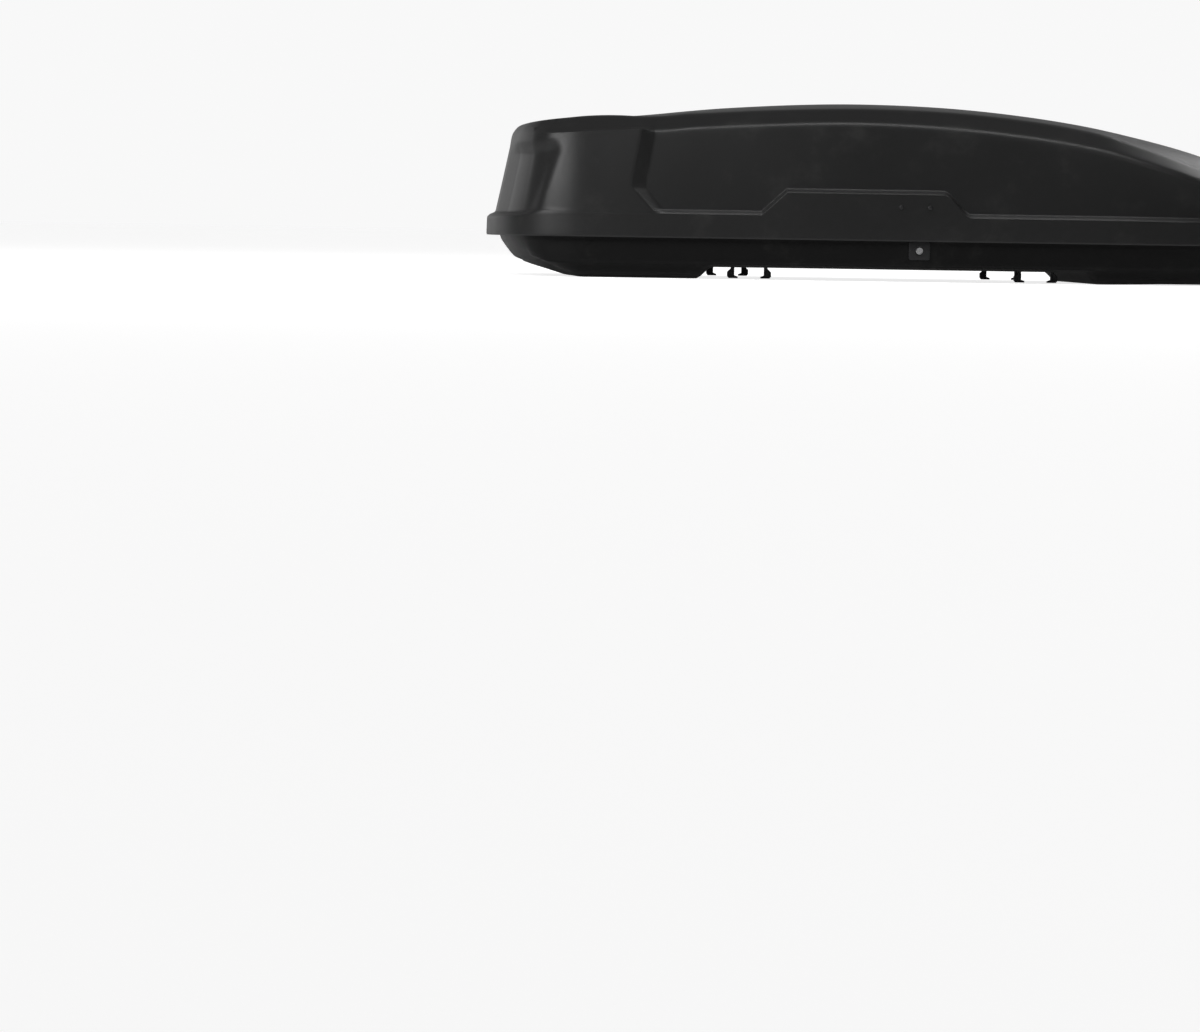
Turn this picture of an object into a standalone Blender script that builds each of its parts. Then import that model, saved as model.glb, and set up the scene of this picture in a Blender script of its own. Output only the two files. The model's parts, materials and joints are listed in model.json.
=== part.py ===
"""Roof cargo box that opens from both sides, with its base tray, lid, sliding hinge bolts, locks and quick clamps.

Frame: +X runs towards the nose, +Y is the car's left, +Z is up. The origin is under the middle of the box,
at the height of its lowest moulding.
"""

import math

import bmesh
import bpy
import numpy as np
from mathutils import Matrix, Vector

# Driving dimensions, in metres.
LENGTH = 2.10
WIDTH = 0.86
SKIN = 0.004  # wall of the vacuum-formed lid and tray
GAP = 0.0004  # air between pieces that touch
LIP_Z = 0.099  # lower edge of the lid
RIM_Z = 0.106  # where the lid is widest
LEDGE_Z = 0.1625  # the line that runs round the lid above its skirt
RAISED_LEDGE_Z = 0.2185  # the same line over the lock
STEP_PROUD = 0.014  # how far the rear section of the lid stands out from the main side panel
FLOOR_Z = 0.029  # underside of the tray between its two bulges
TRAY_TOP_Z = 0.1045
TRAY_INSET = 0.027  # how far the tray wall stands inside the lid's lip

HINGE_Y = 0.385
HINGE_Z = 0.100
HINGE_X = (("rear", -0.500), ("middle", -0.045), ("front", 0.330))
BOLT_RADIUS = 0.003
BOLT_TRAVEL = 0.022

LOCK_X = 0.0
LOCK_Z = 0.0765
LOCK_RADIUS = 0.0085
RIVET_X = (-0.049, 0.022)
RIVET_Z = 0.182

BAR_X = (("rear", -0.408), ("front", 0.304))  # where the car's two crossbars pass under the tray
CLAMP_Y = 0.30
CLAMP_TRAVEL = 0.030
JAW_X = 0.040  # jaw pivots, either side of a crossbar
JAW_Z = 0.0485
SIDES = (("right", -1), ("left", 1))

# Half of the plan outline at the rim, from the middle of the rear to the tip of the nose: x, half width.
HALF_PLAN = (
    (-1.050, 0.000), (-1.047, 0.140), (-1.034, 0.260), (-1.000, 0.355), (-0.945, 0.405), (-0.870, 0.427),
    (-0.800, 0.430), (-0.720, 0.430), (-0.670, 0.430), (-0.537, 0.430), (-0.504, 0.430), (-0.389, 0.430),
    (-0.327, 0.430), (-0.120, 0.430), (0.060, 0.430), (0.121, 0.430), (0.260, 0.430), (0.420, 0.430),
    (0.454, 0.429), (0.540, 0.422), (0.640, 0.402), (0.750, 0.368), (0.850, 0.322), (0.930, 0.265), (0.990, 0.195), (1.035, 0.105),
    (1.050, 0.000),
)
# Lengthwise curves of the lid: x, height.
CROWN = (
    (-0.970, 0.370), (-0.750, 0.3965), (-0.450, 0.4255), (-0.100, 0.4407), (0.250, 0.4230), (0.550, 0.3775),
    (0.800, 0.3110), (0.940, 0.2520),
)
SHOULDER = (
    (-1.000, 0.335), (-0.860, 0.345), (-0.680, 0.357), (-0.450, 0.375), (-0.140, 0.386), (0.150, 0.3717),
    (0.450, 0.332), (0.750, 0.262), (0.950, 0.205),
)
CHAMFER_TOP = (
    (-1.000, 0.368), (-0.880, 0.384), (-0.780, 0.394), (-0.700, 0.391), (-0.580, 0.399), (-0.380, 0.4137),
    (-0.140, 0.4218), (0.160, 0.411), (0.460, 0.3715), (0.750, 0.300), (0.930, 0.245),
)

# The tray's underside along its middle, straight between the points: x, height.
FLOOR_LINE = (
    (-0.970, 0.041), (-0.928, 0.0265), (-0.841, 0.0), (-0.537, 0.0), (-0.504, FLOOR_Z), (0.420, FLOOR_Z),
    (0.454, 0.0), (0.840, 0.0), (0.970, 0.045),
)


def clear_scene():
    for item in list(bpy.data.objects):
        bpy.data.objects.remove(item, do_unlink=True)


def material(name, colour, roughness, metallic=0.0):
    made = bpy.data.materials.new(name)
    made.use_nodes = True
    shader = made.node_tree.nodes["Principled BSDF"]
    shader.inputs["Base Color"].default_value = (*colour, 1.0)
    shader.inputs["Roughness"].default_value = roughness
    shader.inputs["Metallic"].default_value = metallic
    made.diffuse_color = (*colour, 1.0)
    return made


# ---- Curves ----


def through(x, points):
    """The smooth curve through the points, read at x; flat past either end."""
    xs = [p[0] for p in points]
    zs = [p[1] for p in points]
    if x <= xs[0]:
        return zs[0]
    if x >= xs[-1]:
        return zs[-1]
    slopes = np.gradient(zs, xs)
    i = int(np.searchsorted(xs, x)) - 1
    width = xs[i + 1] - xs[i]
    t = (x - xs[i]) / width
    return (
        (2 * t**3 - 3 * t**2 + 1) * zs[i]
        + (t**3 - 2 * t**2 + t) * width * slopes[i]
        + (3 * t**2 - 2 * t**3) * zs[i + 1]
        + (t**3 - t**2) * width * slopes[i + 1]
    )


def ramp(x, start, end):
    """0 before start, 1 after end, easing between."""
    t = min(max((x - start) / (end - start), 0.0), 1.0)
    return t * t * (3 - 2 * t)


def ledge_height(x):
    raised = ramp(x, -0.389, -0.327) * (1 - ramp(x, 0.060, 0.121))
    return LEDGE_Z + (RAISED_LEDGE_Z - LEDGE_Z) * raised


def floor_height(x):
    """The tray's underside along its middle: two deep ends, and a flat stretch that the crossbars pass under."""
    xs, zs = zip(*FLOOR_LINE)
    return float(np.interp(x, xs, zs))


def plan_columns():
    """Each point of the half outline with its inward normal."""
    points = [Vector(p) for p in HALF_PLAN]
    columns = []
    for i, point in enumerate(points):
        before = points[i - 1] if i else Vector((points[1].x, -points[1].y))
        after = points[i + 1] if i + 1 < len(points) else Vector((points[i - 1].x, -points[i - 1].y))
        along = (after - before).normalized()
        columns.append((point, Vector((along.y, -along.x))))
    return columns


# ---- Section profiles: (inset from the rim, height) from the lower edge up ----


def lid_side(x):
    ledge = ledge_height(x)
    proud = STEP_PROUD * (1 - ramp(x, -0.711, -0.660))
    shoulder = through(x, SHOULDER)
    low = (0.020 - proud, ledge + 0.010)
    top = (0.056 - proud, shoulder)
    middle = ((low[0] + top[0]) / 2 - 0.002, (low[1] + top[1]) / 2)
    return (
        (0.001, LIP_Z), (0.000, RIM_Z), (0.004, ledge - 0.012), (0.008, ledge - 0.001), (0.018 - proud * 0.6, ledge + 0.002),
        low, middle, top, (0.116 - proud, through(x, CHAMFER_TOP)),
    )


LID_REAR = (
    (0.001, LIP_Z), (0.000, RIM_Z), (0.001, 0.140), (0.005, 0.149), (0.020, 0.156),
    (0.025, 0.164), (0.044, 0.259), (0.062, 0.350), (0.080, 0.370),
)
LID_NOSE = (
    (0.001, LIP_Z), (0.000, RIM_Z), (0.002, 0.138), (0.006, 0.147), (0.018, 0.151),
    (0.022, 0.157), (0.036, 0.180), (0.056, 0.207), (0.110, 0.252),
)


def tray_side(x):
    low = floor_height(x)
    return (
        (0.016, TRAY_TOP_Z), (TRAY_INSET, 0.100), (TRAY_INSET, 0.092), (TRAY_INSET + 0.002, 0.042),
        (0.050, max(low, 0.020 + 0.3 * low)), (0.100, low),
    )


TRAY_REAR = (
    (0.016, TRAY_TOP_Z), (0.034, 0.100), (0.038, 0.088), (0.052, 0.068), (0.066, 0.052), (0.080, 0.041),
)
TRAY_NOSE = (
    (0.016, TRAY_TOP_Z), (0.027, 0.100), (0.032, 0.088), (0.046, 0.070), (0.062, 0.056), (0.080, 0.045),
)


def blended_profile(point, normal, side, rear, nose):
    """The section where the outline faces this way: side, rear and nose profiles mixed by direction."""
    weights = (normal.y**2, max(normal.x, 0) ** 2, max(-normal.x, 0) ** 2)
    mixed = []
    for rows in zip(side(point.x), rear, nose):
        inset = sum(w * row[0] for w, row in zip(weights, rows))
        height = sum(w * row[1] for w, row in zip(weights, rows))
        mixed.append((inset, height))
    return mixed


def skin(side, rear, nose, crown, rows, facing):
    """An open shell: the blended sections round the plan, closed over the middle by rows across it.

    facing is 1 where the outside of the middle is its upper side, -1 where it is the lower one.
    """
    mesh = bmesh.new()
    for hand in (-1, 1):
        rings = []
        for point, normal in plan_columns():
            profile = blended_profile(point, normal, side, rear, nose)
            ring = [Vector((*(point + normal * inset), height)) for inset, height in profile]
            edge = ring[-1]
            middle = crown(edge.x, edge.z)
            for row in range(1, rows + 1):
                share = 1 - row / rows
                ring.append(Vector((edge.x, edge.y * share, middle + (edge.z - middle) * share**2)))
            rings.append([mesh.verts.new((v.x, hand * v.y, v.z)) for v in ring])
        for a, b in zip(rings, rings[1:]):
            for k in range(len(a) - 1):
                mesh.faces.new((a[k], b[k], b[k + 1], a[k + 1]))
    bmesh.ops.remove_doubles(mesh, verts=mesh.verts, dist=1e-6)
    bmesh.ops.recalc_face_normals(mesh, faces=mesh.faces)
    middle_face = min(mesh.faces, key=lambda face: face.calc_center_median().xy.length)
    if middle_face.normal.z * facing < 0:
        bmesh.ops.reverse_faces(mesh, faces=mesh.faces)
    return mesh


# ---- Solids ----


def box(low, high):
    mesh = bmesh.new()
    bmesh.ops.create_cube(mesh, size=1.0)
    low, high = Vector(low), Vector(high)
    size = high - low
    for vert in mesh.verts:
        vert.co = low + Vector(((vert.co[k] + 0.5) * size[k] for k in range(3)))
    return mesh


TURN = {
    "x": Matrix.Rotation(math.radians(90), 4, "Y"),
    "y": Matrix.Rotation(math.radians(-90), 4, "X"),
    "z": Matrix.Identity(4),
}


def cylinder(axis, centre, radius, length, segments=12):
    """A closed cylinder along the axis, centred on the point."""
    mesh = bmesh.new()
    bmesh.ops.create_cone(
        mesh, cap_ends=True, segments=segments, radius1=radius, radius2=radius, depth=length,
        matrix=Matrix.Translation(centre) @ TURN[axis],
    )
    return mesh


def prism(outline, place, start, end):
    """The outline extruded from start to end; place(a, b, along) gives a point of it in the frame."""
    mesh = bmesh.new()
    lower = [mesh.verts.new(place(a, b, start)) for a, b in outline]
    upper = [mesh.verts.new(place(a, b, end)) for a, b in outline]
    mesh.faces.new(lower)
    mesh.faces.new(upper)
    count = len(outline)
    for i in range(count):
        mesh.faces.new((lower[i], lower[(i + 1) % count], upper[(i + 1) % count], upper[i]))
    bmesh.ops.recalc_face_normals(mesh, faces=mesh.faces)
    return mesh


def loose_object(mesh):
    data = bpy.data.meshes.new("loose")
    mesh.to_mesh(data)
    mesh.free()
    made = bpy.data.objects.new("loose", data)
    bpy.context.scene.collection.objects.link(made)
    return made


def evaluated(item):
    bpy.context.view_layer.update()
    return bpy.data.meshes.new_from_object(item.evaluated_get(bpy.context.evaluated_depsgraph_get()))


def shaped(body, adds=(), cuts=()):
    """One mesh: the body with the added solids joined on, then the cut solids taken away."""
    if isinstance(body, bmesh.types.BMesh):
        body = loose_object(body)
    tools = []
    for operation, solids in (("UNION", adds), ("DIFFERENCE", cuts)):
        for solid in solids:
            tool = loose_object(solid)
            tools.append(tool)
            step = body.modifiers.new(operation, "BOOLEAN")
            step.operation = operation
            step.solver = "EXACT"
            step.object = tool
    mesh = evaluated(body)
    for item in (body, *tools):
        bpy.data.objects.remove(item, do_unlink=True)
    return mesh


def place(name, mesh, finish, origin=(0, 0, 0)):
    """The named sub-part, with its origin moved to the point that it turns or slides about."""
    mesh.transform(Matrix.Translation(-Vector(origin)))
    mesh.name = name
    mesh.materials.clear()
    mesh.materials.append(finish)
    mesh.shade_smooth()
    mesh.set_sharp_from_angle(angle=math.radians(35))
    made = bpy.data.objects.new(name, mesh)
    made.location = origin
    bpy.context.scene.collection.objects.link(made)
    return made


def thick_shell(mesh):
    """The open surface given the thickness of the formed sheet, inwards."""
    item = loose_object(mesh)
    solid = item.modifiers.new("wall", "SOLIDIFY")
    solid.thickness = SKIN
    solid.offset = -1
    solid.use_even_offset = True
    data = evaluated(item)
    bpy.data.objects.remove(item, do_unlink=True)
    made = bpy.data.objects.new("loose", data)
    bpy.context.scene.collection.objects.link(made)
    return made


# ---- Shells ----


def lid_shell(finish):
    surface = skin(lid_side, LID_REAR, LID_NOSE, lambda x, z: through(x, CROWN), rows=3, facing=1)
    holes = [
        cylinder("y", (x, hand * 0.425, RIVET_Z), 0.0028, 0.03, 8) for x in RIVET_X for _, hand in SIDES
    ]
    place("lid_shell", shaped(thick_shell(surface), cuts=holes), finish)


def base_tray(finish):
    surface = skin(tray_side, TRAY_REAR, TRAY_NOSE, lambda x, z: floor_height(x), rows=2, facing=-1)
    pads = []
    cuts = []
    for _, bar in BAR_X:
        pads.append(box((bar - 0.035, -0.20, FLOOR_Z - 0.0015), (bar + 0.035, 0.20, FLOOR_Z + 0.001)))
        for _, hand in SIDES:
            reach = 0.056 + CLAMP_TRAVEL
            cuts.append(
                box((bar - reach, hand * CLAMP_Y - 0.011, 0.0), (bar + reach, hand * CLAMP_Y + 0.011, 0.045))
            )
    for _, hand in SIDES:
        wall_y = hand * (WIDTH / 2 - TRAY_INSET)
        cuts.append(cylinder("y", (LOCK_X, wall_y, LOCK_Z), LOCK_RADIUS + 0.0005, 0.03, 16))
    place("base_tray", shaped(thick_shell(surface), adds=pads, cuts=cuts), finish)


def lid_rib(name, x, finish):
    """A beam across the inside of the roof, following its curve."""
    reach = 0.27
    steps = 8
    ys = [reach * (2 * i / steps - 1) for i in range(steps + 1)]
    edge = through(x, CHAMFER_TOP)
    crown = through(x, CROWN)
    half_width = WIDTH / 2 - 0.116

    def under(y):
        return crown + (edge - crown) * (y / half_width) ** 2 - SKIN - 0.0035

    outline = [(y, under(y)) for y in ys] + [(y, under(y) - 0.012) for y in reversed(ys)]
    place(name, shaped(prism(outline, lambda a, b, s: (s, a, b), x - 0.02, x + 0.02)), finish)


def floor_rail(name, hand, finish):
    """A channel on the tray floor beside the clamp slots, which spreads their load."""
    y = hand * 0.262
    low = FLOOR_Z + SKIN + GAP
    body = box((-0.47, y - 0.009, low), (0.40, y + 0.009, low + 0.010))
    groove = box((-0.48, y - 0.005, low + 0.003), (0.41, y + 0.005, low + 0.02))
    place(name, shaped(body, cuts=[groove]), finish)


# ---- Hinge stations ----


def hinge_bracket(name, x, hand, finish):
    """Two cheeks with hollow bosses on a back plate; the bolt slides through them on the hinge axis."""
    wall = WIDTH / 2 - TRAY_INSET - SKIN - 0.0008
    back = box((x - 0.0175, wall - 0.003, 0.078), (x + 0.0175, wall, 0.1015))
    adds = []
    for end in (-1, 1):
        face = x + end * 0.016
        adds.append(box((face - 0.0015, HINGE_Y - 0.009, HINGE_Z - 0.012), (face + 0.0015, wall - 0.001, 0.1055)))
        adds.append(cylinder("x", (x + end * 0.0135, HINGE_Y, HINGE_Z), 0.0052, 0.006, 10))
    bore = cylinder("x", (x, HINGE_Y, HINGE_Z), BOLT_RADIUS + 0.0004, 0.06, 8)
    mirrored(name, shaped(back, adds=adds, cuts=[bore]), hand, finish)


def arc(centre, radius, start, end, steps):
    """Points along an arc, angles in degrees."""
    angles = [math.radians(start + (end - start) * i / steps) for i in range(steps + 1)]
    return [(centre[0] + radius * math.cos(a), centre[1] + radius * math.sin(a)) for a in angles]


def along_x(a, b, s):
    return (s, a, b)


def hinge_cradle(name, x, hand, finish):
    """Two rings that turn on the bracket's bosses, joined by a trough that the lid's eye drops into."""
    centre = (HINGE_Y, HINGE_Z)
    trough = arc(centre, 0.0098, 200, 340, 6) + arc(centre, 0.0082, 340, 200, 6)
    body = prism(trough, along_x, x - 0.0134, x + 0.0134)
    rings = [cylinder("x", (x + end * 0.0122, *centre), 0.0092, 0.0024) for end in (-1, 1)]
    bores = [cylinder("x", (x + end * 0.0122, *centre), 0.0058, 0.006, 10) for end in (-1, 1)]
    mirrored(name, shaped(body, adds=rings, cuts=bores), hand, finish, (0, HINGE_Y, HINGE_Z))


def lid_eye(name, x, hand, finish, plate):
    """The lid's half of a hinge: an eye on the axis, a stem and a plate against the inside of the skirt."""
    centre = (HINGE_Y, HINGE_Z)
    skirt = WIDTH / 2 - 0.004 - SKIN - 0.0006
    low_z, high_z, ends = plate
    outline = arc(centre, 0.0072, 115, 425, 14) + [
        (HINGE_Y + 0.003, low_z - 0.004), (skirt, low_z), (skirt, low_z + 0.006), (HINGE_Y - 0.003, low_z + 0.002),
    ]
    body = prism(outline, along_x, x - 0.009, x + 0.009)
    foot = box((ends[0], skirt - 0.0025, low_z), (ends[1], skirt, high_z))
    bores = [cylinder("x", (x, *centre), BOLT_RADIUS + 0.0005, 0.03, 8)]
    if high_z > RIVET_Z:
        bores += [cylinder("y", (rx, skirt, RIVET_Z), 0.0028, 0.02, 8) for rx in RIVET_X]
    mirrored(name, shaped(body, adds=[foot], cuts=bores), hand, finish, (0, HINGE_Y, HINGE_Z))


def rivet(name, x, hand, finish):
    """A flat-headed rivet through the lid's skirt and the plate behind it."""
    head = cylinder("y", (x, 0.4283, RIVET_Z), 0.0055, 0.0016, 12)
    shank = cylinder("y", (x, 0.4225, RIVET_Z), 0.0024, 0.0115, 8)
    mirrored(name, shaped(head, adds=[shank]), hand, finish)


def mirrored(name, mesh, hand, finish, origin=(0, 0, 0)):
    """The piece as drawn on the left side, or its mirror image on the right."""
    if hand < 0:
        mesh.transform(Matrix.Scale(-1, 4, (0, 1, 0)))
        mesh.flip_normals()
    place(name, mesh, finish, (origin[0], hand * origin[1], origin[2]))


# ---- Locks ----


def lock_bar(name, hand, finish):
    """The sliding bar with its three hinge bolts and the fork that the key's crank moves."""
    bar_y = 0.3702
    rear = HINGE_X[0][1] - 0.062
    front = HINGE_X[2][1] - 0.056
    body = box((rear, bar_y - 0.00125, 0.072), (front, bar_y + 0.00125, 0.086))
    adds = []
    for _, x in HINGE_X:
        adds.append(box((x - 0.062, bar_y - 0.00125, 0.084), (x - 0.056, HINGE_Y + 0.004, HINGE_Z + 0.004)))
        adds.append(cylinder("x", (x - 0.0365, HINGE_Y, HINGE_Z), BOLT_RADIUS, 0.043, 8))
    for start in (-0.0156, -0.0088):
        x = LOCK_X + start
        adds.append(box((x, bar_y - 0.00125, 0.056), (x + 0.0024, bar_y + 0.00125, 0.073)))
    mirrored(name, shaped(body, adds=adds), hand, finish)


def lock_barrel(name, hand, finish):
    """The key barrel with the crank and the small pin that stand inside the wall."""
    plug = cylinder("y", (LOCK_X, 0.3925, LOCK_Z), LOCK_RADIUS, 0.035, 16)
    arm = prism(
        [(0.0045, 0.0), (0.0, 0.0045), (-0.0135, -0.0095), (-0.0095, -0.0135)],
        lambda a, b, s: (LOCK_X + a, s, LOCK_Z + b), 0.3725, 0.3757,
    )
    pin = cylinder("y", (LOCK_X - 0.0110, 0.3712, LOCK_Z - 0.0110), 0.0013, 0.006, 8)
    keyway = box((LOCK_X - 0.0006, 0.404, LOCK_Z - 0.0045), (LOCK_X + 0.0006, 0.42, LOCK_Z + 0.0045))
    mesh = shaped(plug, adds=[arm, pin], cuts=[keyway])
    mirrored(name, mesh, hand, finish, (LOCK_X, 0.3925, LOCK_Z))


def lock_escutcheon(name, hand, finish):
    """The dark plate round the barrel on the outside of the tray wall."""
    wall = WIDTH / 2 - TRAY_INSET + GAP
    outline = []
    for sx, sz, start in ((1, 1, 0), (-1, 1, 90), (-1, -1, 180), (1, -1, 270)):
        outline += arc((LOCK_X + sx * 0.020, LOCK_Z + sz * 0.0165), 0.006, start, start + 90, 4)
    plate = prism(outline, lambda a, b, s: (a, s, b), wall, wall + 0.003)
    bezel = cylinder("y", (LOCK_X, wall + 0.0025, LOCK_Z), 0.0135, 0.005, 16)
    bore = cylinder("y", (LOCK_X, wall, LOCK_Z), LOCK_RADIUS + 0.0004, 0.03, 16)
    mirrored(name, shaped(plate, adds=[bezel], cuts=[bore]), hand, finish)


# ---- Quick clamps ----


def clamp_carriage(name, x, y, finish):
    """The plate that slides on the tray floor, with cheeks for the jaw pivots and a post for the knob."""
    low = FLOOR_Z + SKIN + GAP
    plate = box((x - 0.062, y - 0.018, low), (x + 0.062, y + 0.018, low + 0.006))
    adds = [cylinder("z", (x, y, low + 0.016), 0.011, 0.024)]
    cuts = [cylinder("z", (x, y, low + 0.022), 0.0058, 0.020, 10)]
    for end in (-1, 1):
        pivot = x + end * JAW_X
        for side in (-1, 1):
            near = y + side * 0.0125
            adds.append(box((pivot - 0.008, near - 0.0025, low + 0.004), (pivot + 0.008, near + 0.0025, JAW_Z + 0.007)))
        cuts.append(box((pivot - 0.015, y - 0.0095, low - 0.01), (pivot + 0.015, y + 0.0095, low + 0.010)))
        cuts.append(cylinder("y", (pivot, y, JAW_Z), 0.0039, 0.05, 8))
    place(name, shaped(plate, adds=adds, cuts=cuts), finish, (x, y, low))


def clamp_knob(name, x, y, finish):
    """A six-lobed hand knob on a short spindle."""
    low = FLOOR_Z + SKIN + GAP + 0.0284
    lobes = []
    for i in range(30):
        angle = math.tau * i / 30
        radius = 0.027 + 0.0025 * math.cos(6 * angle)
        lobes.append((x + radius * math.cos(angle), y + radius * math.sin(angle)))
    grip = prism(lobes, lambda a, b, s: (a, b, s), low + 0.003, low + 0.022)
    adds = [
        cylinder("z", (x, y, low + 0.002), 0.010, 0.0034),
        cylinder("z", (x, y, low - 0.006), 0.0051, 0.016, 8),
    ]
    place(name, shaped(grip, adds=adds), finish, (x, y, low))


def clamp_jaw(name, x, y, end, finish):
    """A thick claw on a cross pin: it goes down through the tray's slot and its toe turns under the bar."""
    pivot = x + end * JAW_X

    def at(a, b, s):
        return (pivot + end * a, y + s, b)

    outline = [
        (0.005, JAW_Z + 0.004), (0.005, 0.026), (0.014, 0.0175), (0.014, 0.0065), (0.010, 0.002), (-0.0115, 0.002),
        (-0.0115, 0.0060), (-0.003, 0.0090), (-0.003, JAW_Z - 0.004), (-0.004, JAW_Z + 0.004),
    ]
    leg = prism(outline, at, -0.008, 0.008)
    pin = cylinder("y", (pivot, y, JAW_Z), 0.0032, 0.030, 8)
    place(name, shaped(leg, adds=[pin]), finish, (pivot, y, JAW_Z))


def build():
    clear_scene()
    black = material("textured_black_abs", (0.018, 0.018, 0.019), 0.55)
    tray_black = material("smooth_black_abs", (0.010, 0.010, 0.011), 0.45)
    nylon = material("black_nylon", (0.022, 0.022, 0.023), 0.40)
    zinc = material("zinc_plated_steel", (0.60, 0.60, 0.58), 0.32, 1.0)
    chrome = material("chromed_zinc", (0.80, 0.80, 0.80), 0.12, 1.0)
    alloy = material("aluminium", (0.70, 0.70, 0.71), 0.30, 1.0)

    lid_shell(black)
    base_tray(tray_black)
    lid_rib("lid_rib_rear", -0.45, alloy)
    lid_rib("lid_rib_front", 0.25, alloy)
    for side, hand in SIDES:
        floor_rail(f"floor_rail_{side}", hand, zinc)
        for station, x in HINGE_X:
            hinge_bracket(f"hinge_bracket_{side}_{station}", x, hand, zinc)
            hinge_cradle(f"hinge_cradle_{side}_{station}", x, hand, nylon)
            if station == "middle":
                plate = (0.138, 0.192, (RIVET_X[0] - 0.012, RIVET_X[1] + 0.012))
            else:
                plate = (0.135, 0.147, (x - 0.022, x + 0.022))
            lid_eye(f"lid_eye_{side}_{station}", x, hand, zinc, plate)
        for i, x in enumerate(RIVET_X):
            rivet(f"rivet_{side}_{i + 1}", x, hand, nylon)
        lock_bar(f"lock_bar_{side}", hand, zinc)
        lock_barrel(f"lock_barrel_{side}", hand, chrome)
        lock_escutcheon(f"lock_escutcheon_{side}", hand, nylon)
        for bar, x in BAR_X:
            y = hand * CLAMP_Y
            clamp_carriage(f"clamp_carriage_{bar}_{side}", x, y, nylon)
            clamp_knob(f"clamp_knob_{bar}_{side}", x, y, nylon)
            clamp_jaw(f"clamp_jaw_{bar}_{side}_fore", x, y, 1, nylon)
            clamp_jaw(f"clamp_jaw_{bar}_{side}_aft", x, y, -1, nylon)


build()
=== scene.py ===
# %% [markdown]
# # A roof cargo box
#
# The real object is a long hard box for a car's roof: a black lid and a black tray, both vacuum formed from
# ABS sheet, which hinge on either side. The mechanism is already a fixed frame of solids. Here the two
# shells get their true curved surfaces, and every piece gets its finish.

# %% Load the frame
import json
import math

import bmesh
import bpy
import numpy as np
from mathutils import Matrix, Vector


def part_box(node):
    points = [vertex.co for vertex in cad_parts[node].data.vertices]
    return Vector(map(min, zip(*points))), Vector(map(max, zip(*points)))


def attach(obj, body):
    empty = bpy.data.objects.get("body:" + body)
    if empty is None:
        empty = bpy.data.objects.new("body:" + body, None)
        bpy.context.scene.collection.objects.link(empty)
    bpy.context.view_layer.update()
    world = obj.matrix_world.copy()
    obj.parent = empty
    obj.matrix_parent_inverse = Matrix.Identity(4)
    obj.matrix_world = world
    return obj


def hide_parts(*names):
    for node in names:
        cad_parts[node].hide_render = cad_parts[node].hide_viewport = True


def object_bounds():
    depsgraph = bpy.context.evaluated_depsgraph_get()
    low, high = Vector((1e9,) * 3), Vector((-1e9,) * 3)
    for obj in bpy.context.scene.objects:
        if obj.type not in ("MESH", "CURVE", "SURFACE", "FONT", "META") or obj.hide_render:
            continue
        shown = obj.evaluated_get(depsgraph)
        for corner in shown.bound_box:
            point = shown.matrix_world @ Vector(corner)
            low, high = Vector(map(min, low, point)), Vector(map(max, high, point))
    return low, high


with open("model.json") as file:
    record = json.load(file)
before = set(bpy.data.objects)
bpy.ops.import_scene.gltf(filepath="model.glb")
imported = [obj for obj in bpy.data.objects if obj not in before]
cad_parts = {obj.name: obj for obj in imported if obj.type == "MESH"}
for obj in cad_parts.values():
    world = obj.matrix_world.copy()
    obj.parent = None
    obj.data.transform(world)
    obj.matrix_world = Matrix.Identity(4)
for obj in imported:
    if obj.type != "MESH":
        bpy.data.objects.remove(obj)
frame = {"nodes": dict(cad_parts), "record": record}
cad_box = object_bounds()
print("frame loaded,", len(frame["nodes"]), "nodes, box", cad_box)

# %% [markdown]
# ## The camera
#
# The box is seen square from its right side, from far away, so that its long lines stay almost level. A
# small roll lets the nose dip as it does on a car's roof. The frame cuts the nose off, as a close crop does.

# %% Camera
CAMERA_PLACE = Vector((-1.560, -12.43, 0.132))
YAW, PITCH, ROLL, FIELD_OF_VIEW = (math.radians(a) for a in (3.742, -3.397, 0.913, 13.869))

flat = math.cos(PITCH)
ahead = Vector((math.sin(YAW) * flat, math.cos(YAW) * flat, math.sin(PITCH)))
level = ahead.cross(Vector((0, 0, 1))).normalized()
upright = level.cross(ahead)
right = level * math.cos(ROLL) + upright * math.sin(ROLL)
up = upright * math.cos(ROLL) - level * math.sin(ROLL)
turn = Matrix((right, up, -ahead)).transposed().to_4x4()

lens = bpy.data.cameras.new("side_view")
lens.sensor_fit = "HORIZONTAL"
lens.angle = FIELD_OF_VIEW
lens.clip_end = 500
camera = bpy.data.objects.new("side_view", lens)
camera.matrix_world = Matrix.Translation(CAMERA_PLACE) @ turn
bpy.context.collection.objects.link(camera)
bpy.context.scene.camera = camera
print("camera at", tuple(CAMERA_PLACE))

# %% [markdown]
# ## Writing node graphs as arithmetic
#
# Every finish, and the light of the room, is a small graph of nodes. It could be wired link by link, but
# wrapping a socket in a class lets the graph be written as sums and products, which are easier to read.


# %% Socket arithmetic
class Value:
    """A node socket that takes part in arithmetic and adds the Math nodes that it needs."""

    def __init__(self, graph, socket):
        self.graph = graph
        self.socket = socket

    def _math(self, operation, *terms):
        inputs = {i: term for i, term in enumerate(terms)}
        return self.graph.node("ShaderNodeMath", {"operation": operation}, inputs)

    def __add__(self, other):
        return self._math("ADD", self, other)

    __radd__ = __add__

    def __sub__(self, other):
        return self._math("SUBTRACT", self, other)

    def __rsub__(self, other):
        return self._math("SUBTRACT", other, self)

    def __mul__(self, other):
        return self._math("MULTIPLY", self, other)

    __rmul__ = __mul__

    def eased(self, low, high, to_low=0.0, to_high=1.0):
        """This value's stretch from low to high, eased onto another range."""
        settings = {"interpolation_type": "SMOOTHSTEP"}
        inputs = {0: self, 1: low, 2: high, 3: to_low, 4: to_high}
        return self.graph.node("ShaderNodeMapRange", settings, inputs)


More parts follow.
